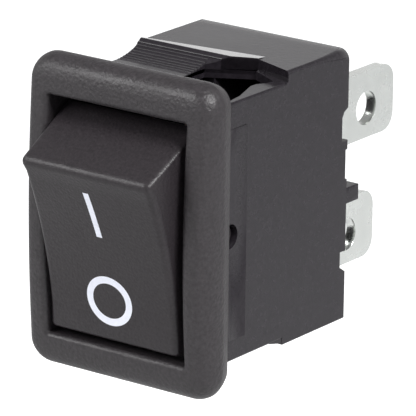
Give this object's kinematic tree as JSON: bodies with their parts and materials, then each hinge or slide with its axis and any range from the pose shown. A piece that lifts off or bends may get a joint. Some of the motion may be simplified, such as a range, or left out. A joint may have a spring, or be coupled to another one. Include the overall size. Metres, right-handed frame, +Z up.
{
  "type": "panel rocker switch",
  "caption": "Rectangular on-off rocker switch that snaps into a panel cut-out, with rear quick-connect tabs.",
  "frame": {"origin": "middle of the bezel's rear face, which sits on the front of the panel", "axes": "+X to the right of the bezel seen from the front, +Y back through the panel to the tabs, +Z up towards the rocker end that stands out at rest"},
  "size_m": [0.0154, 0.0285, 0.0216],
  "materials": {
    "bezel_plastic": "finely textured black",
    "body_plastic": "smooth black, half matte",
    "rocker_plastic": "finely textured black with white printed marks",
    "plunger_plastic": "plain natural nylon",
    "spring_steel": "plain wire",
    "blade_copper": "plain rolled copper alloy",
    "contact_silver": "plain silver alloy",
    "tinned_brass": "bright tin plate"
  },
  "bodies": {
    "housing": {"bezel_frame": "bezel_plastic", "switch_body": "body_plastic", "common_terminal_left": "tinned_brass", "common_terminal_right": "tinned_brass", "load_terminal_left": "tinned_brass", "load_terminal_right": "tinned_brass", "fixed_contact_left": "contact_silver", "fixed_contact_right": "contact_silver"},
    "rocker": {"rocker": "rocker_plastic", "plunger_spring_left": "spring_steel", "plunger_spring_right": "spring_steel"},
    "plunger_left": {"plunger_left": "plunger_plastic"},
    "plunger_right": {"plunger_right": "plunger_plastic"},
    "blade_left": {"contact_blade_left": "blade_copper", "moving_contact_left": "contact_silver"},
    "blade_right": {"contact_blade_right": "blade_copper", "moving_contact_right": "contact_silver"}
  },
  "joints": [
    {"name": "rocker_tilt", "type": "hinge", "parent": "housing", "child": "rocker", "pos_m": [0, 0.00135, -0.0003], "axis": [1, 0, 0], "range_deg": [-29, 0]},
    {"name": "blade_left_rock", "type": "hinge", "parent": "housing", "child": "blade_left", "pos_m": [-0.00245, 0.011, -0.0003], "axis": [1, 0, 0], "range_deg": [0, 16]},
    {"name": "blade_right_rock", "type": "hinge", "parent": "housing", "child": "blade_right", "pos_m": [0.00245, 0.011, -0.0003], "axis": [1, 0, 0], "range_deg": [0, 16]},
    {"name": "plunger_left_slide", "type": "slide", "parent": "rocker", "child": "plunger_left", "axis": [0, 0.9681, 0.2504], "range_m": [-0.0005, 0], "stiffness_N_per_m": 200, "springref_m": 0.002, "deforming": ["plunger_spring_left"]},
    {"name": "plunger_right_slide", "type": "slide", "parent": "rocker", "child": "plunger_right", "axis": [0, 0.9681, 0.2504], "range_m": [-0.0005, 0], "stiffness_N_per_m": 200, "springref_m": 0.002, "deforming": ["plunger_spring_right"]}
  ],
  "couplings": [
    {"joint": "blade_left_rock", "follows": "rocker_tilt", "ratio": -0.5517},
    {"joint": "blade_right_rock", "follows": "rocker_tilt", "ratio": -0.5517}
  ]
}
